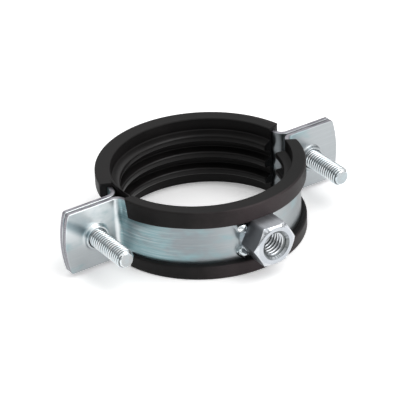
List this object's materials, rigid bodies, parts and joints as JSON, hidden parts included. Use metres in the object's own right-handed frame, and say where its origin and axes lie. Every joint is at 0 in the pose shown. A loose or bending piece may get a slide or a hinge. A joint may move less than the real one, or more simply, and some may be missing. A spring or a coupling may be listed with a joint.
{
  "type": "pipe clamp",
  "caption": "Two-half steel pipe clamp with ribbed rubber liners, flat ears held by screws in plunged collars, and a hexagonal weld nut for a threaded rod.",
  "frame": {"origin": "on the pipe axis, at mid height of the clamp, where the parting plane between the ears crosses it", "axes": "+Z along the pipe; +X through the right ear; -Y out of the weld nut, the way the rod leaves"},
  "size_m": [0.1002, 0.0711, 0.023],
  "materials": {
    "zinc_steel": "zinc plated, semi-gloss, slightly blue",
    "bright_zinc": "zinc plated, bright",
    "liner_rubber": "matt black, extruded"
  },
  "bodies": {
    "front_half": {"front_band": "zinc_steel", "front_liner": "liner_rubber", "weld_nut": "bright_zinc", "nut_welds": "bright_zinc"},
    "back_half": {"back_band": "zinc_steel", "back_liner": "liner_rubber"},
    "left_screw": {"left_screw": "bright_zinc"},
    "right_screw": {"right_screw": "bright_zinc"}
  },
  "joints": [
    {"name": "jaw_opening", "type": "slide", "parent": "front_half", "child": "back_half", "axis": [0, 1, 0], "range_m": [0, 0.015]},
    {"name": "left_screw_turn", "type": "hinge", "parent": "back_half", "child": "left_screw", "pos_m": [-0.03975, 0, 0], "axis": [0, 1, 0], "range_deg": [0, 5400]},
    {"name": "right_screw_turn", "type": "hinge", "parent": "back_half", "child": "right_screw", "pos_m": [0.03975, 0, 0], "axis": [0, 1, 0], "range_deg": [0, 5400]}
  ],
  "couplings": [
    {"joint": "left_screw_turn", "follows": "jaw_opening", "rad_per_m": 6283.2},
    {"joint": "right_screw_turn", "follows": "jaw_opening", "rad_per_m": 6283.2}
  ]
}
